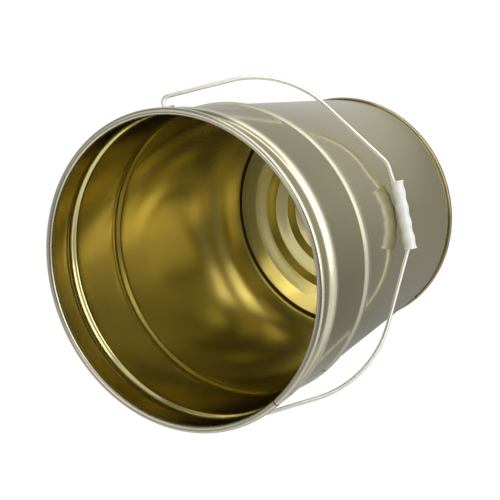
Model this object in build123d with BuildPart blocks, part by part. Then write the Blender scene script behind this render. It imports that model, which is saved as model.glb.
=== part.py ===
from build123d import *
from math import cos, pi, radians, sin
import os

# Open-head tapered steel pail for paint, about 20 litres, with a wire bail and a loose plastic grip.
# Millimetres, +Z up. The origin is the centre of the base, and X runs through the two bail ears.
# The bail is stored hanging down towards -Y, with its grip just clear of the wall.

# Overall
height = 340.0
rim_radius = 150.0
sheet = 0.5

# Rolled rim and neck
curl_radius = 3.4
curl_centre_r = rim_radius - curl_radius
curl_centre_z = height - curl_radius
curl_end_angle = -140.0
neck_r = curl_centre_r - curl_radius + sheet / 2

# Body wall, centre line of the sheet
shoulder_r = 142.95
waist_r = 141.95
taper_top_r = 140.75
base_wall_r = 122.05
taper_bottom_z = 7.0
taper_blend = 30.0

# Rolling hoops: height of the middle, half width, apex of the unrounded shape, root and crest radii
hoop_mid_z = 307.6
hoop_half = 7.4
hoop_apex = 6.4
hoop_radii = (4.0, 8.0, 4.0)
bead_mid_z = 237.6
bead_half = 6.6
bead_apex = 3.7
bead_radii = (5.0, 10.0, 5.0)

# Double seam at the base: five layers of sheet with a small gap between them
layer_gap = 0.1
layer_pitch = sheet + layer_gap
chuck_wall_r = base_wall_r - layer_pitch
end_hook_r = base_wall_r + layer_pitch
body_hook_r = end_hook_r + layer_pitch
seam_wall_r = body_hook_r + layer_pitch
seam_top_z = 4.6
seam_foot_radius = 0.8
hook_bend = layer_pitch - 0.01
body_hook_bottom_z = sheet + layer_gap + sheet / 2
body_hook_top_z = 3.7
end_hook_bottom_z = 2.0

# Recessed bottom panel with stamped expansion rings
panel_z = 26.0
ring_depth = 3.0
ring_radii = (38.0, 52.0, 63.0, 77.0, 89.0, 103.0)
ring_blend = 2.0
panel_edge_blend = 2.0

# Sealing compound in the crevice between the bottom and the wall
compound_bottom_z = 8.0
compound_top_z = 24.4
compound_gap = 0.05

# Bail ears: welded flange and domed cup
pivot_z = 274.6
ear_flange_radius = 17.0
ear_flange_thickness = 0.8
ear_cup_base_radius = 11.5
ear_cup_top_radius = 8.5
ear_cup_bend = 2.0
ear_sheet = 1.0
ear_top_x = 149.6
pin_clearance = 0.07

# Wire bail, laid out in its own plane: x along the ear axis, y away from it.
# It is bent by hand, so its two arms differ by a few millimetres.
wire_radius = 1.9
stored_angle = 48.9
arm_tops_x = (159.4, -153.0)
arm_bottoms = ((152.7, 120.7), (-158.0, 107.4))
crown_corners_x = (35.9, -38.9)
crown_y = 187.2
bail_bends = (6.5, 100.0, 20.0, 20.0, 100.0, 3.0)
head_radius = 4.0
head_inner_x = 145.2
head_thickness = 2.4

# Loose grip: a hollow sleeve that has slid along the crown until it straddles one bend
grip_length = 66.5
grip_centre = (-16.9, 186.4)
grip_tilt = 6.5
grip_bore_radius = 4.95
grip_mouth_radius = 5.6
grip_mouth_depth = 5.0
grip_mean_radius = 5.88
grip_wave = 0.28
grip_waves = 4.5
grip_end_radius = 6.65
grip_wave_points = 19

os.makedirs("parts", exist_ok=True)


def finish(part, name):
    """Labels a finished piece and writes its STEP file."""
    part.label = name
    export_step(part, f"parts/{name}.step")


def taper_r(z):
    """Centre line radius of the wall's long taper at height z."""
    share = (z - taper_bottom_z) / (bead_mid_z - bead_half - taper_bottom_z)
    return base_wall_r + share * (taper_top_r - base_wall_r)


def waist_outer_r(z):
    """Outer radius of the wall between the two hoops at height z."""
    low_z = bead_mid_z + bead_half
    share = (z - low_z) / (hoop_mid_z - hoop_half - low_z)
    return waist_r + share * (shoulder_r - waist_r) + sheet / 2


# Body: hook, tapered wall, two hoops, neck and curl, all one sheet
with BuildPart() as body_shell:
    with BuildSketch(Plane.XZ):
        with BuildLine():
            FilletPolyline(
                (body_hook_r, body_hook_top_z),
                (body_hook_r, body_hook_bottom_z),
                (base_wall_r, body_hook_bottom_z),
                (base_wall_r, taper_bottom_z),
                (taper_top_r, bead_mid_z - bead_half),
                (taper_top_r + bead_apex, bead_mid_z),
                (waist_r, bead_mid_z + bead_half),
                (shoulder_r, hoop_mid_z - hoop_half),
                (neck_r + hoop_apex, hoop_mid_z),
                (neck_r, hoop_mid_z + hoop_half),
                (neck_r, curl_centre_z),
                radius=(hook_bend, hook_bend, taper_blend) + bead_radii + hoop_radii,
            )
            CenterArc(
                (curl_centre_r, curl_centre_z),
                curl_radius - sheet / 2,
                180,
                curl_end_angle - 180,
            )
        trace(line_width=sheet)
    revolve(axis=Axis.Z)
finish(body_shell.part, "body_shell")

# Bottom: expansion rings, recessed panel, chuck wall and the outer hook of the double seam
panel_line_z = panel_z - sheet / 2
ring_points = [
    (radius, panel_line_z - ring_depth * ((i + 1) % 2))
    for i, radius in enumerate(ring_radii)
]
with BuildPart() as bottom_end:
    with BuildSketch(Plane.XZ):
        with BuildLine():
            FilletPolyline(
                (0, panel_line_z - ring_depth),
                *ring_points,
                (chuck_wall_r, panel_line_z),
                (chuck_wall_r, sheet / 2),
                (seam_wall_r, sheet / 2),
                (seam_wall_r, seam_top_z - sheet / 2),
                (end_hook_r, seam_top_z - sheet / 2),
                (end_hook_r, end_hook_bottom_z),
                radius=[ring_blend] * len(ring_radii)
                + [panel_edge_blend]
                + [seam_foot_radius] * 2
                + [hook_bend] * 2,
            )
        trace(line_width=sheet)
    revolve(axis=Axis.Z)
finish(bottom_end.part, "bottom_end")

# Sealing compound: a wedge-shaped ring between the chuck wall and the taper
compound_inner_r = chuck_wall_r + sheet / 2 + compound_gap
with BuildPart() as seam_compound:
    with BuildSketch(Plane.XZ):
        with BuildLine():
            Polyline(
                (compound_inner_r, compound_bottom_z),
                (taper_r(compound_bottom_z) - sheet / 2 - compound_gap, compound_bottom_z),
                (taper_r(compound_top_z) - sheet / 2 - compound_gap, compound_top_z),
                (compound_inner_r, compound_top_z),
                close=True,
            )
        make_face()
    revolve(axis=Axis.Z)
finish(seam_compound.part, "seam_compound")

# Ears: a round flange that follows the wall, and a domed cup with a hole for the bail
hole_radius = wire_radius + pin_clearance
ear_cup_line_x = ear_top_x - ear_sheet / 2
pivot_axis = Axis((0, 0, pivot_z), (1, 0, 0))
ear_plane = Plane(origin=(0, 0, pivot_z), x_dir=(1, 0, 0), z_dir=(0, -1, 0))
flange_top_z = pivot_z + ear_flange_radius
flange_bottom_z = pivot_z - ear_flange_radius
with BuildPart() as ear_right:
    with BuildSketch(Plane.XZ):
        with BuildLine():
            Polyline(
                (waist_outer_r(flange_bottom_z), flange_bottom_z),
                (waist_outer_r(flange_bottom_z) + ear_flange_thickness, flange_bottom_z),
                (waist_outer_r(flange_top_z) + ear_flange_thickness, flange_top_z),
                (waist_outer_r(flange_top_z), flange_top_z),
                close=True,
            )
        make_face()
    revolve(axis=Axis.Z)
    with BuildSketch(Plane.YZ.offset(waist_r - ear_flange_radius)):
        with Locations((0, pivot_z)):
            Circle(ear_flange_radius)
            Circle(ear_cup_base_radius, mode=Mode.SUBTRACT)
    extrude(amount=2 * ear_flange_radius, mode=Mode.INTERSECT)
    with BuildSketch(ear_plane):
        with BuildLine():
            FilletPolyline(
                (waist_r, ear_cup_base_radius),
                (ear_cup_line_x, ear_cup_top_radius),
                (ear_cup_line_x, hole_radius),
                radius=ear_cup_bend,
            )
        trace(line_width=ear_sheet)
    revolve(axis=pivot_axis)
    with BuildSketch(Plane.XZ):
        with BuildLine():
            Polyline(
                (0, flange_bottom_z),
                (waist_outer_r(flange_bottom_z), flange_bottom_z),
                (waist_outer_r(flange_top_z), flange_top_z),
                (0, flange_top_z),
                close=True,
            )
        make_face()
    revolve(axis=Axis.Z, mode=Mode.SUBTRACT)
finish(ear_right.part, "ear_right")

with BuildPart() as ear_left:
    add(ear_right.part)
    mirror(about=Plane.YZ, mode=Mode.REPLACE)
finish(ear_left.part, "ear_left")

# Bail: one bent wire whose headed ends sit inside the ears
swing = radians(stored_angle)
bail_plane = Plane(
    origin=(0, 0, pivot_z),
    x_dir=(1, 0, 0),
    z_dir=(0, cos(swing), -sin(swing)),
)
with BuildPart() as bail_wire:
    with BuildLine(bail_plane) as bail_line:
        FilletPolyline(
            (head_inner_x, 0),
            (arm_tops_x[0], 0),
            arm_bottoms[0],
            (crown_corners_x[0], crown_y),
            (crown_corners_x[1], crown_y),
            arm_bottoms[1],
            (arm_tops_x[1], 0),
            (-head_inner_x, 0),
            radius=bail_bends,
        )
    with BuildSketch(Plane.YZ.offset(head_inner_x)):
        with Locations((0, pivot_z)):
            Circle(wire_radius)
    sweep(path=bail_line.wire())
    with BuildSketch(Plane.YZ.offset(head_inner_x)):
        with Locations((0, pivot_z)):
            Circle(head_radius)
    extrude(amount=head_thickness)
    with BuildSketch(Plane.YZ.offset(-head_inner_x)):
        with Locations((0, pivot_z)):
            Circle(head_radius)
    extrude(amount=-head_thickness)
finish(bail_wire.part, "bail_wire")

# Grip: a hollow waved sleeve, flared at both ends
tilt = radians(grip_tilt)
grip_plane = Plane(
    origin=bail_plane.from_local_coords(grip_centre),
    x_dir=bail_plane.x_dir * cos(tilt) + bail_plane.y_dir * sin(tilt),
    z_dir=bail_plane.z_dir,
)


def grip_point(i):
    """Point i of the waved outline: lobes between waists, rising to the flared ends."""
    along = grip_length * (i / (grip_wave_points - 1) - 0.5)
    lobe = -grip_wave * cos(2 * pi * grip_waves * along / grip_length)
    end = (2 * abs(along) / grip_length) ** 8
    return (along, grip_mean_radius + lobe + end * (grip_end_radius - grip_mean_radius))


with BuildPart() as grip:
    with BuildSketch(grip_plane):
        with BuildLine():
            outline = Spline([grip_point(i) for i in range(grip_wave_points)])
            Polyline(
                outline @ 1,
                (grip_length / 2, grip_mouth_radius),
                (grip_length / 2 - grip_mouth_depth, grip_bore_radius),
                (grip_mouth_depth - grip_length / 2, grip_bore_radius),
                (-grip_length / 2, grip_mouth_radius),
                outline @ 0,
            )
        make_face()
    revolve(axis=Axis(grip_plane.origin, grip_plane.x_dir))
finish(grip.part, "grip")
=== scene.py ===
import bpy
from math import acos, atan2, cos, pi, radians, sin, sqrt, tan
import numpy as np
from mathutils import Matrix, Vector


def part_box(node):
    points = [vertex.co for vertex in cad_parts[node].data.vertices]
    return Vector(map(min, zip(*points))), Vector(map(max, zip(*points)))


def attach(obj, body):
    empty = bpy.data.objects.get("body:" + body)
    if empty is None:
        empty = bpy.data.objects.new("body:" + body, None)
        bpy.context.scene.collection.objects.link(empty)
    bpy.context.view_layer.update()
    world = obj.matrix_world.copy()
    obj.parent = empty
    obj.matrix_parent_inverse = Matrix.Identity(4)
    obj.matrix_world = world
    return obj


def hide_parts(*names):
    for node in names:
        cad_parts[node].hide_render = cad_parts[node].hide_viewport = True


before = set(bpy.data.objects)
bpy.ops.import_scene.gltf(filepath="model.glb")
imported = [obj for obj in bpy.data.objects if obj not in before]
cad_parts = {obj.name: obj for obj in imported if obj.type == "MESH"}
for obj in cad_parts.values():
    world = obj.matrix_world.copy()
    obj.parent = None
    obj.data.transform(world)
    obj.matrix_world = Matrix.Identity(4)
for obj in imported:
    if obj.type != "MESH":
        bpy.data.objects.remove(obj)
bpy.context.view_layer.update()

# The pail, in metres where nothing else is said. Its sizes repeat those of the CAD nodes, except where a
# comment says otherwise.
MM = 0.001
SHEET = 0.5 * MM
BODY_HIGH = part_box("body_shell")[1]
HEIGHT = BODY_HIGH.z
RIM_R = BODY_HIGH.x

CURL_R = 3.4 * MM
CURL_CENTRE = (RIM_R - CURL_R, HEIGHT - CURL_R)
CURL_END = radians(-140.0)
NECK_R = CURL_CENTRE[0] - CURL_R + SHEET / 2
SHOULDER_R = 142.95 * MM
WAIST_R = 141.95 * MM
TAPER_TOP_R = 140.75 * MM
BASE_WALL_R = 122.05 * MM
HOOP_Z, HALF_HOOP = 307.6 * MM, 7.4 * MM
BEAD_Z, HALF_BEAD = 237.6 * MM, 6.6 * MM
LONGEST_RUN = 6 * MM
BODY_COLUMNS = 288

# The double seam at the base, and the bottom with its expansion rings
LAYER_PITCH = 0.6 * MM
HOOK_BEND = 0.59 * MM
SEAM_FOOT_BEND = 0.8 * MM
SEAM_TOP_Z = 4.6 * MM
PANEL_Z = 26.0 * MM
RING_RADII = [r * MM for r in (38, 52, 63, 77, 89, 103)]
RING_DEPTH = 3 * MM
RING_BEND = 2 * MM
BOTTOM_COLUMNS = 288

# The side weld and the waves of the sheet, which the CAD leaves out
WELD_AZIMUTH = radians(203.5)
LAP_HEIGHT = 0.09 * MM
LAP_HALF_WIDTH = 0.55 * MM
WAVE_HEIGHT = 0.035 * MM

# The bail hangs in a plane through the pivot, turned from the vertical by SWING
PIVOT = Vector((0, 0, 274.6 * MM))
SWING = radians(48.9)
WIRE_R = 1.9 * MM
WIRE_SIDES = 56
WIRE_TURN = radians(4)

# The wire's heads, in millimetres. Their flat faces are drawn round a tiny ring in the middle.
HEAD_SIDES = 40
HEAD_INNER_X = 145.2
HEAD_CENTRE_R = 0.02

# The grip straddles one bend of the wire. Its waves are deeper than the CAD's 0.28 mm.
GRIP_LENGTH = 66.5 * MM
GRIP_CENTRE = (-16.9 * MM, 186.4 * MM)
GRIP_TILT = radians(6.5)
GRIP_MEAN_R = 5.88 * MM
GRIP_END_R = 6.65 * MM
GRIP_MOUTH_R = 5.6 * MM
GRIP_BORE_R = 4.95 * MM
GRIP_WAVE = 0.42 * MM
GRIP_WAVES = 4.5
GRIP_OUTLINE_POINTS = 121
GRIP_SIDES = 96
MOULD_LINES = (0.9, 0.9 + pi)

# The four spot welds on each ear's round flange, in millimetres. They are only in this model.
SPOT_WELD_R = 14.7
SPOT_WELD_SIZE = 1.5
SPOT_WELD_DEPTH = 0.35
EAR_COLUMNS = 96


# ---------------------------------------------------------------- mesh helpers

def fillet_line(points, radii, turn=radians(7.5)):
    """Points in a plane joined by straight runs, with arcs of the given radii at the inner points."""
    pts = [np.array(p, float) for p in points]
    out = [pts[0]]
    for before, corner, after, radius in zip(pts, pts[1:], pts[2:], radii):
        to_before = (before - corner) / np.linalg.norm(before - corner)
        to_after = (after - corner) / np.linalg.norm(after - corner)
        inside = acos(max(-1.0, min(1.0, float(to_before @ to_after))))
        reach = radius / tan(inside / 2)
        bisector = to_before + to_after
        centre = corner + bisector / np.linalg.norm(bisector) * radius / sin(inside / 2)
        start = corner + to_before * reach - centre
        end = corner + to_after * reach - centre
        first = atan2(start[1], start[0])
        sweep = (atan2(end[1], end[0]) - first + pi) % (2 * pi) - pi
        steps = max(2, int(round(abs(sweep) / turn)))
        for k in range(steps + 1):
            a = first + sweep * k / steps
            out.append(centre + radius * np.array([cos(a), sin(a)]))
    out.append(pts[-1])
    return np.array(out)


def arc_line(centre, radius, first, last, turn=radians(7.5)):
    """Points on an arc, both ends included."""
    steps = max(2, int(round(abs(last - first) / turn)))
    angles = np.linspace(first, last, steps + 1)
    return np.stack([centre[0] + radius * np.cos(angles), centre[1] + radius * np.sin(angles)], 1)


def split_runs(line, longest):
    """The same line with its long runs divided."""
    out = [line[0]]
    for a, b in zip(line, line[1:]):
        parts = max(1, int(np.ceil(np.linalg.norm(b - a) / longest)))
        for k in range(1, parts + 1):
            out.append(a + (b - a) * k / parts)
    return np.array(out)


def clean_line(line):
    """The line without points that repeat."""
    keep = [line[0]]
    for p in line[1:]:
        if np.linalg.norm(p - keep[-1]) > 1e-6:
            keep.append(p)
    return np.array(keep)


def offset_line(line, distance):
    """The line moved sideways, to its left for a positive distance."""
    runs = np.diff(line, axis=0)
    runs /= np.linalg.norm(runs, axis=1)[:, None]
    left = np.stack([-runs[:, 1], runs[:, 0]], 1)
    at = np.vstack([left[:1], left[:-1] + left[1:], left[-1:]])
    at /= np.linalg.norm(at, axis=1)[:, None]
    inner = np.vstack([left[:1], left[1:], left[-1:]])
    stretch = 1 / np.maximum(0.3, (at * inner).sum(1))
    return line + at * (distance * stretch)[:, None]


def make_object(name, verts, faces, materials, face_slots=None):
    """A smooth-shaded mesh object."""
    mesh = bpy.data.meshes.new(name)
    mesh.from_pydata([tuple(v) for v in verts], [], [tuple(f) for f in faces])
    for m in materials:
        mesh.materials.append(m)
    if face_slots is not None:
        mesh.polygons.foreach_set("material_index", np.asarray(face_slots, np.int32))
    mesh.polygons.foreach_set("use_smooth", np.ones(len(faces), bool))
    mesh.validate()
    mesh.update()
    obj = bpy.data.objects.new(name, mesh)
    bpy.context.scene.collection.objects.link(obj)
    return obj


def lathe_mesh(loop, azimuths, loop_slots, shape=None, closed=True):
    """Turns a line in (r, z) about the Z axis. shape(r, z, azimuth) may move its points."""
    rows, columns = len(loop), len(azimuths)
    r = np.repeat(loop[:, 0], columns)
    z = np.repeat(loop[:, 1], columns)
    a = np.tile(azimuths, rows)
    if shape is not None:
        r, z = shape(r, z, a)
    verts = np.stack([r * np.cos(a), r * np.sin(a), z], 1)
    i = np.arange(rows if closed else rows - 1)
    j = np.arange(columns)
    ii, jj = [g.ravel() for g in np.meshgrid(i, j, indexing="ij")]
    ni, nj = (ii + 1) % rows, (jj + 1) % columns
    faces = np.stack([ii * columns + jj, ii * columns + nj, ni * columns + nj, ni * columns + jj], 1)
    slots = np.asarray(loop_slots, int)[ii]
    return verts, faces, slots


def ring_azimuths(count, near=None, offsets=()):
    """Evenly spaced azimuths, with extra ones close to a given azimuth."""
    angles = list(np.arange(count) * 2 * pi / count)
    if near is not None:
        reach = max(offsets)
        angles = [a for a in angles if abs((a - near + pi) % (2 * pi) - pi) > reach * 1.2]
        angles += [near + s * o for o in offsets for s in (-1, 1)] + [near]
    return np.array(sorted(a % (2 * pi) for a in angles))


# ------------------------------------------------------------ material helpers

class Nodes:
    """A short way to write a node tree."""

    def __init__(self, name):
        self.material = bpy.data.materials.new(name)
        self.material.use_nodes = True
        self.tree = self.material.node_tree
        self.shader = self.tree.nodes["Principled BSDF"]
        self.place = self.tree.nodes.new("ShaderNodeTexCoord").outputs["Object"]

    def add(self, kind, inputs=None, **settings):
        node = self.tree.nodes.new("ShaderNode" + kind)
        for key, value in settings.items():
            setattr(node, key, value)
        for key, value in (inputs or {}).items():
            self.set(node.inputs[key], value)
        return node

    def set(self, socket, value):
        if isinstance(value, bpy.types.NodeSocket):
            self.tree.links.new(value, socket)
        else:
            socket.default_value = value

    def look(self, **values):
        """Sets sockets of the shader, with _ for a space in their names."""
        for key, value in values.items():
            self.set(self.shader.inputs[key.replace("_", " ")], value)

    def stretch(self, scale):
        return self.add("Mapping", {"Vector": self.place, "Scale": scale}).outputs[0]

    def noise(self, scale, detail, rough=0.5, vector=None):
        return self.add(
            "TexNoise",
            {"Vector": vector or self.place, "Scale": scale, "Detail": detail, "Roughness": rough},
        ).outputs["Fac"]

    def remap(self, value, low, high, to_low, to_high):
        return self.add(
            "MapRange",
            {"Value": value, "From Min": low, "From Max": high, "To Min": to_low, "To Max": to_high},
        ).outputs["Result"]

    def height(self):
        return self.add("SeparateXYZ", {"Vector": self.place}).outputs["Z"]

    def math(self, operation, a, b=0.0):
        return self.add("Math", {0: a, 1: b}, operation=operation).outputs[0]

    def dot(self, direction):
        """How far the place lies along a direction."""
        node = self.add("VectorMath", {0: self.place, 1: direction}, operation="DOT_PRODUCT")
        return node.outputs["Value"]

    def mix(self, factor, a, b):
        node = self.add("Mix", {"Factor": factor}, data_type="RGBA")
        self.set(node.inputs["A"], a)
        self.set(node.inputs["B"], b)
        return node.outputs["Result"]

    def weld_line(self, full, none):
        """1 on the side weld and 0 further than none from it."""
        across = self.dot((-sin(WELD_AZIMUTH), cos(WELD_AZIMUTH), 0))
        out = self.dot((cos(WELD_AZIMUTH), sin(WELD_AZIMUTH), 0))
        near = self.remap(self.math("ABSOLUTE", across), full, none, 1.0, 0.0)
        return self.math("MULTIPLY", near, self.math("GREATER_THAN", out))

    def bump(self, height, strength, distance, normal=None):
        inputs = {"Height": height, "Strength": strength, "Distance": distance}
        if normal is not None:
            inputs["Normal"] = normal
        return self.add("Bump", inputs).outputs["Normal"]


def rgb(r, g, b):
    return (r, g, b, 1.0)


def exterior_material():
    """Satin champagne coating over steel, rougher on the rim and the hoops, where a painted highlight turns
    it pale cream, with a dark weld.
    """
    n = Nodes("champagne_coating")
    cloud = n.noise(9.0, 3.0)
    grain = n.noise(1400.0, 2.0)
    roll = n.noise(26.0, 3.0, 0.5, n.stretch((1.0, 1.0, 0.12)))
    tone = n.math("ADD", n.math("MULTIPLY", cloud, 0.6), n.math("MULTIPLY", roll, 0.4))
    colour = n.mix(n.remap(tone, 0.35, 0.65, 0, 1), rgb(0.56, 0.518, 0.318), rgb(0.61, 0.565, 0.35))
    on_rim = n.remap(n.height(), CURL_CENTRE[1] - 4 * MM, CURL_CENTRE[1] - 2 * MM, 0.0, 1.0)
    on_hoops = 0.0
    for middle, reach in ((HOOP_Z, 9 * MM), (BEAD_Z, 8 * MM)):
        off = n.math("ABSOLUTE", n.math("SUBTRACT", n.height(), middle))
        on_hoops = n.math("ADD", on_hoops, n.remap(off, 0.6 * reach, reach, 1.0, 0.0))
    # Painted highlight: the rim and the hoops are mixed towards a pale cream, standing in for the bright
    # bands that the low lights lay on them.
    painted_highlight = n.math("ADD", n.math("MULTIPLY", on_rim, 0.6), n.math("MULTIPLY", on_hoops, 0.5))
    colour = n.mix(painted_highlight, colour, rgb(0.76, 0.725, 0.60))
    colour = n.mix(n.weld_line(0.5 * MM, 0.7 * MM), colour, rgb(0.05, 0.042, 0.03))
    smudge = n.noise(22.0, 5.0, 0.6)
    rough = n.math("ADD", n.remap(smudge, 0.35, 0.75, 0.12, 0.16), n.remap(grain, 0.3, 0.7, -0.01, 0.01))
    rough = n.math("ADD", rough, n.math("MULTIPLY", on_hoops, 0.17))
    rough = n.math("ADD", rough, n.math("MULTIPLY", on_rim, 0.14))
    n.look(
        Base_Color=colour,
        Metallic=1.0,
        Roughness=rough,
        Coat_Weight=0.4,
        Coat_Roughness=0.1,
        Normal=n.bump(grain, 0.03, 0.0002, n.bump(roll, 0.06, 0.002)),
    )
    return n.material


def lacquer_material(name, pale, deep, grain_strength, smooth):
    """Olive-gold can lacquer over tinplate, with drawn streaks and fine grain."""
    n = Nodes(name)
    cloud = n.noise(7.0, 4.0)
    streak = n.noise(30.0, 4.0, 0.6, n.stretch((1.0, 1.0, 0.06)))
    tone = n.math("ADD", n.math("MULTIPLY", cloud, 0.6), n.math("MULTIPLY", streak, 0.4))
    colour = n.mix(n.remap(tone, 0.35, 0.65, 0, 1), deep, pale)
    scuff = n.noise(55.0, 6.0, 0.65, n.stretch((1.0, 1.0, 2.2)))
    scuffed = n.remap(scuff, 0.66, 0.72, 0.0, 1.0)
    colour = n.mix(n.math("MULTIPLY", scuffed, 0.35), colour, rgb(0.30, 0.235, 0.10))
    grain = n.noise(1500.0, 2.0)
    streaked = n.remap(streak, 0.3, 0.7, smooth, smooth + 0.025)
    rough = n.math("ADD", streaked, n.math("MULTIPLY", scuffed, 0.08))
    n.look(
        Base_Color=colour,
        Metallic=1.0,
        Roughness=rough,
        Normal=n.bump(grain, grain_strength, 0.0002, n.bump(streak, 0.03, 0.003)),
    )
    return n.material


def compound_material():
    n = Nodes("black_sealing_compound")
    lumps = n.noise(500.0, 3.0)
    n.look(
        Base_Color=n.mix(lumps, rgb(0.008, 0.008, 0.007), rgb(0.018, 0.017, 0.015)),
        Roughness=n.remap(lumps, 0.3, 0.7, 0.45, 0.7),
        Normal=n.bump(lumps, 0.4, 0.0004),
    )
    return n.material


def ear_material():
    n = Nodes("tinned_steel")
    cloud = n.noise(120.0, 4.0)
    n.look(
        Base_Color=n.mix(cloud, rgb(0.52, 0.50, 0.44), rgb(0.66, 0.64, 0.58)),
        Metallic=1.0,
        Roughness=n.remap(cloud, 0.3, 0.7, 0.22, 0.38),
        Normal=n.bump(cloud, 0.1, 0.0004),
    )
    return n.material


def wire_material():
    n = Nodes("bright_zinc_wire")
    cloud = n.noise(180.0, 4.0)
    n.look(
        Base_Color=n.mix(cloud, rgb(0.86, 0.84, 0.78), rgb(0.92, 0.90, 0.86)),
        Metallic=1.0,
        Roughness=n.remap(cloud, 0.3, 0.7, 0.36, 0.46),
    )
    return n.material


def grip_material():
    n = Nodes("milky_plastic")
    cloud = n.noise(60.0, 3.0)
    grain = n.noise(900.0, 2.0)
    n.look(
        Base_Color=n.mix(cloud, rgb(0.90, 0.865, 0.825), rgb(0.94, 0.91, 0.88)),
        Roughness=n.remap(cloud, 0.3, 0.7, 0.34, 0.46),
        Subsurface_Weight=0.25,
        Subsurface_Scale=0.003,
        Normal=n.bump(grain, 0.08, 0.0002),
    )
    return n.material


def floor_material():
    """A pale floor. The camera sees it as almost plain white. The pail is lit by its bounce instead, and
    the floor's colour carries a painted shadow of the pail: mid grey close round it, darker in a ring
    outside that, and lighter further out."""
    n = Nodes("pale_floor")
    away = n.add("VectorMath", {0: n.place}, operation="LENGTH").outputs["Value"]
    # Painted shadow of the pail: the floor's colour is grey close by, darkest in a ring, and light further
    # out.
    near = n.mix(n.remap(away, 0.16, 0.30, 0.0, 1.0), rgb(0.45, 0.45, 0.45), rgb(0.29, 0.29, 0.29))
    far = n.remap(away, 0.32, 0.48, 0.0, 1.0)
    n.look(Base_Color=n.mix(far, near, rgb(0.62, 0.62, 0.62)), Roughness=0.9)
    glow = n.add("Emission", {"Color": rgb(1, 1, 1), "Strength": 1.06})
    seen = n.add("LightPath").outputs["Is Camera Ray"]
    shown = n.math("MULTIPLY", seen, 0.96)
    blend = n.add("MixShader", {0: shown, 1: n.shader.outputs[0], 2: glow.outputs[0]})
    n.tree.links.new(blend.outputs[0], n.tree.nodes["Material Output"].inputs["Surface"])
    return n.material


EXTERIOR = exterior_material()
LACQUER = lacquer_material(
    "gold_can_lacquer", rgb(0.757, 0.677, 0.335), rgb(0.692, 0.615, 0.296), 0.012, 0.155
)
BASE_LACQUER = lacquer_material(
    "gold_base_lacquer", rgb(0.76, 0.67, 0.33), rgb(0.70, 0.61, 0.29), 0.12, 0.10
)
COMPOUND = compound_material()
EAR = ear_material()
WIRE = wire_material()
GRIP = grip_material()
FLOOR = floor_material()


# ------------------------------------------------------------------ the pieces

BODY_AZIMUTHS = ring_azimuths(
    BODY_COLUMNS, WELD_AZIMUTH, [radians(d) for d in (0.12, 0.2, 0.26, 0.34, 0.6, 1.0)]
)


def body_line():
    """Centre line of the body's sheet, from the hook in the base seam up to the curl.

    The lower hoop is a little crisper than the CAD's, whose apex is 3.7 mm with bends of 5, 10 and 5 mm."""
    body_hook_r = BASE_WALL_R + 2 * LAYER_PITCH
    hook_low_z = LAYER_PITCH + SHEET / 2
    taper_bend = 30 * MM
    hoop_bends = [4 * MM, 8 * MM, 4 * MM]
    runs = fillet_line(
        [
            (body_hook_r, 3.7 * MM),
            (body_hook_r, hook_low_z),
            (BASE_WALL_R, hook_low_z),
            (BASE_WALL_R, 7 * MM),
            (TAPER_TOP_R, BEAD_Z - HALF_BEAD),
            (TAPER_TOP_R + 4.3 * MM, BEAD_Z),
            (WAIST_R, BEAD_Z + HALF_BEAD),
            (SHOULDER_R, HOOP_Z - HALF_HOOP),
            (NECK_R + 6.4 * MM, HOOP_Z),
            (NECK_R, HOOP_Z + HALF_HOOP),
            (NECK_R, CURL_CENTRE[1]),
        ],
        [HOOK_BEND, HOOK_BEND, taper_bend] + hoop_bends * 2,
    )
    curl = arc_line(CURL_CENTRE, CURL_R - SHEET / 2, pi, CURL_END)
    return clean_line(np.vstack([split_runs(runs, LONGEST_RUN), curl]))


def fade(value, start, length):
    """Rises from 0 at start to 1 at start + length."""
    return np.clip((value - start) / length, 0, 1)


def wall_waves(r, z, a):
    """The long, shallow waves of rolled sheet, and the lap of the side weld. Both fade out at the ends."""
    free = fade(z, 20 * MM, 50 * MM) * fade(-z, -322 * MM, 20 * MM)
    waves = 0.5 * np.sin(3 * a + 9 * z + 0.6) + 0.3 * np.sin(5 * a - 23 * z + 2.1)
    waves += 0.2 * np.sin(8 * a + 31 * z + 4.0)
    off = (a - WELD_AZIMUTH + pi) % (2 * pi) - pi
    lap = np.exp(-((off * r / LAP_HALF_WIDTH) ** 4))
    lap = lap * fade(z, 0, 8 * MM) * fade(-z, -338.5 * MM, 3 * MM)
    return r + free * waves * WAVE_HEIGHT + lap * LAP_HEIGHT, z


def build_body():
    centre = body_line()
    outer = offset_line(centre, -SHEET / 2)
    inner = offset_line(centre, SHEET / 2)
    loop = np.vstack([outer, inner[::-1]])
    on_curl = (centre[:, 1] > CURL_CENTRE[1] - 0.2 * MM) & (centre[:, 0] > NECK_R - 0.05 * MM)
    coated = np.zeros(len(centre), int)
    lacquered = np.where(on_curl, 0, 1)
    slots = np.concatenate([coated, lacquered[::-1]])
    verts, faces, face_slots = lathe_mesh(loop, BODY_AZIMUTHS, slots, wall_waves)
    body = make_object("pail_body", verts, faces, [EXTERIOR, LACQUER], face_slots)
    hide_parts("body_shell")
    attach(body, "can")


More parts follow.
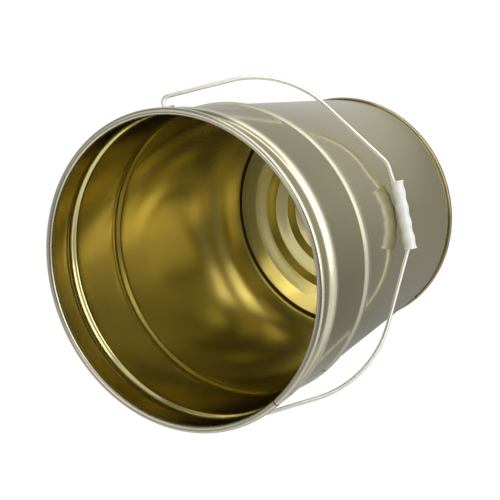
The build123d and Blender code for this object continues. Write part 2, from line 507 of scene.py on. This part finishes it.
def build_bottom():
    """The bottom: a turned sheet that starts 1 mm from the axis, with its middle closed by two fans."""
    chuck_r = BASE_WALL_R - LAYER_PITCH
    hook_r = BASE_WALL_R + LAYER_PITCH
    seam_r = BASE_WALL_R + 3 * LAYER_PITCH
    high = PANEL_Z - SHEET / 2
    low = high - RING_DEPTH
    rings = [(radius, low if i % 2 == 0 else high) for i, radius in enumerate(RING_RADII)]
    line = fillet_line(
        [
            (MM, low),
            *rings,
            (chuck_r, high),
            (chuck_r, SHEET / 2),
            (seam_r, SHEET / 2),
            (seam_r, SEAM_TOP_Z - SHEET / 2),
            (hook_r, SEAM_TOP_Z - SHEET / 2),
            (hook_r, 2 * MM),
        ],
        [RING_BEND] * (len(RING_RADII) + 1) + [SEAM_FOOT_BEND] * 2 + [HOOK_BEND] * 2,
    )
    centre = clean_line(split_runs(line, LONGEST_RUN))
    loop = np.vstack([offset_line(centre, -SHEET / 2), offset_line(centre, SHEET / 2)[::-1]])
    on_seam = loop[:, 0] > BASE_WALL_R + 1.5 * LAYER_PITCH
    columns = BOTTOM_COLUMNS
    verts, faces, slots = lathe_mesh(loop, ring_azimuths(columns), on_seam, closed=False)
    below, above = len(verts), len(verts) + 1
    verts = [*verts, (0, 0, loop[0, 1]), (0, 0, loop[-1, 1])]
    last = (len(loop) - 1) * columns
    fans = [(below, (k + 1) % columns, k) for k in range(columns)]
    fans += [(last + k, last + (k + 1) % columns, above) for k in range(columns)]
    faces = [*faces, *fans]
    slots = [*slots, *[0] * len(fans)]
    bottom = make_object("pail_bottom", verts, faces, [BASE_LACQUER, EXTERIOR], slots)
    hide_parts("bottom_end")
    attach(bottom, "can")


def bail_point(x, y, off=0.0):
    """A point of the bail's plane: x along the ears, y away from them."""
    return PIVOT + Vector((x, -y * sin(SWING) + off * cos(SWING), -y * cos(SWING) - off * sin(SWING)))


def tube_mesh(line, radius, sides):
    """A closed round tube along a line in the bail's plane."""
    runs = np.gradient(line, axis=0)
    runs /= np.linalg.norm(runs, axis=1)[:, None]
    verts, faces = [], []
    for p, t in zip(line, runs):
        for k in range(sides):
            a = 2 * pi * k / sides
            side = radius * cos(a)
            verts.append(bail_point(p[0] - t[1] * side, p[1] + t[0] * side, radius * sin(a)))
    for i in range(len(line) - 1):
        for k in range(sides):
            n = (k + 1) % sides
            faces.append((i * sides + k, i * sides + n, (i + 1) * sides + n, (i + 1) * sides + k))
    faces.append(tuple(range(sides))[::-1])
    faces.append(tuple((len(line) - 1) * sides + k for k in range(sides)))
    return verts, faces


def add_head(verts, faces, sign):
    """Adds the flat round head of the wire inside one ear. sign is 1 on the +X side and -1 on the other."""
    profile = [
        (0, 0.1), (2.6, 0.1), (3.5, 0.25), (4.0, 0.75), (4.0, 1.65), (3.5, 2.15), (2.6, 2.35), (0, 2.35),
    ]
    base = len(verts)
    for r, along in profile:
        for k in range(HEAD_SIDES):
            a = 2 * pi * k / HEAD_SIDES
            x = sign * (HEAD_INNER_X + along) * MM
            r_here = max(r, HEAD_CENTRE_R) * MM
            verts.append(PIVOT + Vector((x, r_here * cos(a), r_here * sin(a))))
    rings = [[base + i * HEAD_SIDES + k for k in range(HEAD_SIDES)] for i in range(len(profile))]
    added = []
    for low, high in zip(rings, rings[1:]):
        for k in range(HEAD_SIDES):
            n = (k + 1) % HEAD_SIDES
            added.append((low[k], low[n], high[n], high[k]))
    added += [tuple(rings[0][::-1]), tuple(rings[-1])]
    faces += [f[::-1] for f in added] if sign < 0 else added


def build_wire():
    """The bail's wire. Its corners and bends are in millimetres, in the bail's plane."""
    corners = [
        (146.4, 0),
        (159.4, 0),
        (152.7, 120.7),
        (35.9, 187.2),
        (-38.9, 187.2),
        (-158.0, 107.4),
        (-153.0, 0),
        (-146.4, 0),
    ]
    bends = (6.5, 100, 20, 20, 100, 3)
    line = fillet_line(
        [(x * MM, y * MM) for x, y in corners], [b * MM for b in bends], WIRE_TURN
    )
    line = clean_line(split_runs(line, LONGEST_RUN))
    verts, faces = tube_mesh(line, WIRE_R, WIRE_SIDES)
    for sign in (1, -1):
        add_head(verts, faces, sign)
    wire = make_object("bail_wire_bright", verts, faces, [WIRE])
    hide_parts("bail_wire")
    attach(wire, "bail")


def grip_outline_point(k):
    """Point k of the waved outline: lobes between waists, flared ends and a rounded edge."""
    half = GRIP_LENGTH / 2
    along = -half + GRIP_LENGTH * k / (GRIP_OUTLINE_POINTS - 1)
    lobe = -GRIP_WAVE * cos(2 * pi * GRIP_WAVES * along / GRIP_LENGTH)
    flare = (2 * abs(along) / GRIP_LENGTH) ** 8
    edge = max(0.0, 1 - (half - abs(along)) / (0.7 * MM))
    return along, GRIP_MEAN_R + lobe + flare * (GRIP_END_R - GRIP_MEAN_R) - 0.25 * MM * edge ** 2


def grip_relief(angle, r):
    """Height of the two fine mould lines and the slight flats round the outside of the grip."""
    off = min(abs((angle - line + pi) % (2 * pi) - pi) for line in MOULD_LINES)
    return 0.06 * MM * max(0.0, 1 - off * r / (0.35 * MM)) - 0.025 * MM * cos(6 * angle)


def build_grip():
    half = GRIP_LENGTH / 2
    outline = [grip_outline_point(k) for k in range(GRIP_OUTLINE_POINTS)]
    inner = [
        (half, GRIP_MOUTH_R + 0.1 * MM),
        (half - 0.5 * MM, GRIP_MOUTH_R),
        (half - 5 * MM, GRIP_BORE_R),
        (5 * MM - half, GRIP_BORE_R),
        (0.5 * MM - half, GRIP_MOUTH_R),
        (-half, GRIP_MOUTH_R + 0.1 * MM),
    ]
    loop = np.vstack([np.array(outline), split_runs(np.array(inner), 3 * MM)])
    along_x, along_y = cos(GRIP_TILT), sin(GRIP_TILT)
    verts, faces = [], []
    for row, (along, r) in enumerate(loop):
        for k in range(GRIP_SIDES):
            a = 2 * pi * k / GRIP_SIDES
            here = r + (grip_relief(a, r) if row < GRIP_OUTLINE_POINTS else 0.0)
            side = here * cos(a)
            x = GRIP_CENTRE[0] + along * along_x - side * along_y
            y = GRIP_CENTRE[1] + along * along_y + side * along_x
            verts.append(bail_point(x, y, here * sin(a)))
    rows = len(loop)
    for i in range(rows):
        for k in range(GRIP_SIDES):
            n = (k + 1) % GRIP_SIDES
            j = (i + 1) % rows
            faces.append(
                (i * GRIP_SIDES + k, i * GRIP_SIDES + n, j * GRIP_SIDES + n, j * GRIP_SIDES + k)
            )
    grip = make_object("grip_sleeve", verts, faces, [GRIP])
    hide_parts("grip")
    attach(grip, "grip")


def wall_x(y, z):
    """How far the wall's outer face is along X, between the two hoops."""
    low_z, high_z = BEAD_Z + HALF_BEAD, HOOP_Z - HALF_HOOP
    share = (z - low_z) / (high_z - low_z)
    r = WAIST_R + SHEET / 2 + share * (SHOULDER_R - WAIST_R)
    return sqrt(r * r - y * y)


def flange_dimple(y, z):
    """Depth of the spot welds' dimples at a place on the flange, measured from the pivot in millimetres."""
    off = min(
        sqrt((y - SPOT_WELD_R * cos(w)) ** 2 + (z - SPOT_WELD_R * sin(w)) ** 2)
        for w in (pi / 4, 3 * pi / 4, 5 * pi / 4, 7 * pi / 4)
    )
    return SPOT_WELD_DEPTH * max(0.0, 1 - (off / SPOT_WELD_SIZE) ** 2)


def build_ear(side, name, node):
    """A pressed cup ear: a spot-welded flange that follows the wall, and a cup with a hole for the bail."""
    # In millimetres: distance from the pivot and height over the wall on the flange, then distance and x
    # on the cup. The last ring closes the cup just above the wall.
    top = 0.8
    on_wall = [(17.0, 0.0), (17.0, 0.4), (16.85, 0.65), (16.5, top)]
    on_wall += [(rho, top) for rho in np.linspace(16.2, 12.9, 12)]
    on_wall += [(12.5, 0.83), (12.1, 0.95), (11.75, 1.2)]
    cup = [
        (11.4, 144.5), (11.1, 144.9), (10.8, 145.5), (10.35, 146.4), (9.9, 147.4), (9.55, 148.2),
        (9.3, 148.65), (8.95, 149.05), (8.45, 149.35), (7.8, 149.54), (7.0, 149.6), (5.5, 149.6),
        (4.0, 149.6), (2.9, 149.6), (2.4, 149.56), (2.12, 149.45), (2.0, 149.25), (1.98, 149.0),
        (1.98, 148.75), (2.15, 148.62), (2.6, 148.6), (6.8, 148.6), (7.7, 148.45), (8.3, 148.05),
        (8.7, 147.3), (9.3, 145.5), (9.9, 144.2),
    ]
    foot_gap = 0.02 * MM
    foot = (10.4, None)
    columns = EAR_COLUMNS
    verts, faces = [], []
    for rho, lift in on_wall:
        for k in range(columns):
            a = 2 * pi * k / columns
            y, z = rho * MM * cos(a), PIVOT.z + rho * MM * sin(a)
            dimple = flange_dimple(rho * cos(a), rho * sin(a)) if lift >= top else 0.0
            verts.append((wall_x(y, z) + (lift - dimple) * MM, y, z))
    for rho, x in [*cup, foot]:
        for k in range(columns):
            a = 2 * pi * k / columns
            y, z = rho * MM * cos(a), PIVOT.z + rho * MM * sin(a)
            verts.append((wall_x(y, z) + foot_gap if x is None else x * MM, y, z))
    rows = len(on_wall) + len(cup) + 1
    for i in range(rows):
        j = (i + 1) % rows
        for k in range(columns):
            n = (k + 1) % columns
            faces.append((i * columns + k, i * columns + n, j * columns + n, j * columns + k))
    if side < 0:
        verts = [(-x, y, z) for x, y, z in verts]
        faces = [f[::-1] for f in faces]
    ear = make_object(name, verts, faces, [EAR])
    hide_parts(node)
    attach(ear, "can")


def keep_cad(node, material):
    """A CAD node whose shape is right keeps its mesh and takes a finished material."""
    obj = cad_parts[node]
    obj.data.materials.clear()
    obj.data.materials.append(material)


build_body()
build_bottom()
build_wire()
build_grip()
keep_cad("seam_compound", COMPOUND)
build_ear(1, "ear_cup_right", "ear_right")
build_ear(-1, "ear_cup_left", "ear_left")


# ----------------------------------------------------------- floor and lights

FLOOR_HALF_SIDE = 6.0
FLOOR_DROP = 0.3 * MM


def build_floor():
    side = FLOOR_HALF_SIDE
    verts = [(-side, -side, 0), (side, -side, 0), (side, side, 0), (-side, side, 0)]
    floor = make_object("floor", verts, [(0, 1, 2, 3)], [FLOOR])
    floor.location.z = -FLOOR_DROP
    return floor


floor = build_floor()

RIG_CENTRE = Vector((0, 0, 0.25))


def softbox(name, azimuth, elevation, distance, width, height, radiance):
    """A soft rectangular light aimed at the pail. Its power follows from its radiance and area."""
    az, el = radians(azimuth), radians(elevation)
    out = Vector((cos(el) * cos(az), cos(el) * sin(az), sin(el)))
    data = bpy.data.lights.new(name, "AREA")
    data.shape = "RECTANGLE"
    data.size = width
    data.size_y = height
    data.energy = radiance * pi * width * height
    light = bpy.data.objects.new(name, data)
    light.location = RIG_CENTRE + out * distance
    light.rotation_euler = (-out).to_track_quat("-Z", "Y").to_euler()
    light.visible_camera = False
    bpy.context.scene.collection.objects.link(light)
    return light


# Name, azimuth and elevation in degrees, distance, width and height in metres, radiance
SOFTBOXES = (
    ("front_key", 275, 22, 1.15, 1.3, 0.45, 1.8),
    ("right_low", 322, -3, 0.9, 0.75, 0.36, 1.75),
    ("front_low", 275, -3, 0.9, 0.78, 0.36, 1.45),
    ("left_low", 230, -3, 0.95, 0.7, 0.36, 0.5),
    ("right_mid", 335, 30, 1.15, 0.6, 0.4, 0.45),
    ("back_right", 40, 45, 1.15, 0.9, 0.5, 0.3),
    ("back_mid", 140, 50, 1.15, 0.8, 0.45, 0.3),
    ("left_side", 172, 40, 1.15, 1.0, 0.4, 0.5),
    ("top_strip", 45, 68, 1.15, 0.9, 0.55, 0.38),
    ("top_middle", 0, 64, 1.15, 0.45, 0.4, 0.7),
    ("top_spot", -33, 69, 1.15, 0.42, 0.34, 1.0),
)
for row in SOFTBOXES:
    softbox(*row)

# This one lights only the floor, whose bounce then reaches the pail
floor_light = softbox("sweep_light", 40, 58, 1.7, 0.8, 0.8, 10.5)
floor_only = bpy.data.collections.new("sweep_only")
floor_only.objects.link(floor)
floor_light.light_linking.receiver_collection = floor_only

# The surroundings that the pail sees. A fill rises towards one direction, from the first strength to the
# second. A glow along the horizon fades out with elevation, and is flagged off round one azimuth. A weak
# glow comes from overhead. Each range gives where the change starts and ends, the last two as cosines.
FILL_LOW, FILL_HIGH = 0.06, 0.33
FILL_AZIMUTH, FILL_ELEVATION = radians(25), radians(50)
HORIZON_GLOW, ZENITH_GLOW = 0.8, 0.16
FLAG_AZIMUTH = radians(15)
HORIZON_RANGE = (radians(18), radians(42))
ZENITH_RANGE = (radians(60), radians(67))
FILL_RANGE = (0.52, 0.97)
FLAG_RANGE = (0.3, 0.7)


def studio_world():
    """White for the camera, and the uneven surroundings described above for the pail."""
    world = bpy.data.worlds.new("studio")
    bpy.context.scene.world = world
    world.use_nodes = True
    tree = world.node_tree

    def add(kind, inputs, output, operation=None):
        """Adds a node, sets or links its inputs and gives one of its outputs."""
        node = tree.nodes.new("ShaderNode" + kind)
        if operation is not None:
            node.operation = operation
        for key, value in inputs.items():
            if isinstance(value, bpy.types.NodeSocket):
                tree.links.new(value, node.inputs[key])
            else:
                node.inputs[key].default_value = value
        return node.outputs[output]

    def ramp(value, span, start, end):
        inputs = {"Value": value, "From Min": span[0], "From Max": span[1], "To Min": start, "To Max": end}
        return add("MapRange", inputs, "Result")

    direction = add("TexCoord", {}, "Generated")
    rise = add("SeparateXYZ", {0: direction}, "Z")
    horizon = ramp(rise, [sin(e) for e in HORIZON_RANGE], HORIZON_GLOW, 0)
    zenith = ramp(rise, [sin(e) for e in ZENITH_RANGE], 0, ZENITH_GLOW)
    fill_way = (
        cos(FILL_ELEVATION) * cos(FILL_AZIMUTH),
        cos(FILL_ELEVATION) * sin(FILL_AZIMUTH),
        sin(FILL_ELEVATION),
    )
    toward_fill = add("VectorMath", {0: direction, 1: fill_way}, "Value", "DOT_PRODUCT")
    fill = ramp(toward_fill, FILL_RANGE, FILL_LOW, FILL_HIGH)
    flag_way = (cos(FLAG_AZIMUTH), sin(FLAG_AZIMUTH), 0)
    toward_flag = add("VectorMath", {0: direction, 1: flag_way}, "Value", "DOT_PRODUCT")
    not_flagged = ramp(toward_flag, FLAG_RANGE, 1, 0)
    side_glow = add("Math", {0: horizon, 1: not_flagged}, 0, "MULTIPLY")
    glow = add("Math", {0: side_glow, 1: zenith}, 0, "ADD")
    total = add("Math", {0: glow, 1: fill}, 0, "ADD")
    seen = add("LightPath", {}, "Is Camera Ray")
    level = add("Mix", {"Factor": seen, "A": total, "B": 1.0}, "Result")
    background = tree.nodes["Background"]
    background.inputs["Color"].default_value = rgb(1, 1, 1)
    tree.links.new(level, background.inputs["Strength"])


studio_world()

# --------------------------------------------------------------------- camera

CAMERA_PLACE = Vector((0.03569, -0.74635, 1.34506))
CAMERA_AIM = Vector((-0.00487, 0.02743, 0.170))
CAMERA_ROLL = radians(110.69)
CAMERA_LENS = 100.06
SENSOR_WIDTH = 36.0
FAR_CLIP = 50.0

camera_data = bpy.data.cameras.new("camera")
camera_data.lens = CAMERA_LENS
camera_data.sensor_width = SENSOR_WIDTH
camera_data.clip_end = FAR_CLIP
camera = bpy.data.objects.new("camera", camera_data)
bpy.context.scene.collection.objects.link(camera)
look = (CAMERA_AIM - CAMERA_PLACE).to_track_quat("-Z", "Y").to_matrix().to_4x4()
camera.matrix_world = Matrix.Translation(CAMERA_PLACE) @ look @ Matrix.Rotation(-CAMERA_ROLL, 4, "Z")
bpy.context.scene.camera = camera
bpy.context.scene.view_settings.view_transform = "Standard"
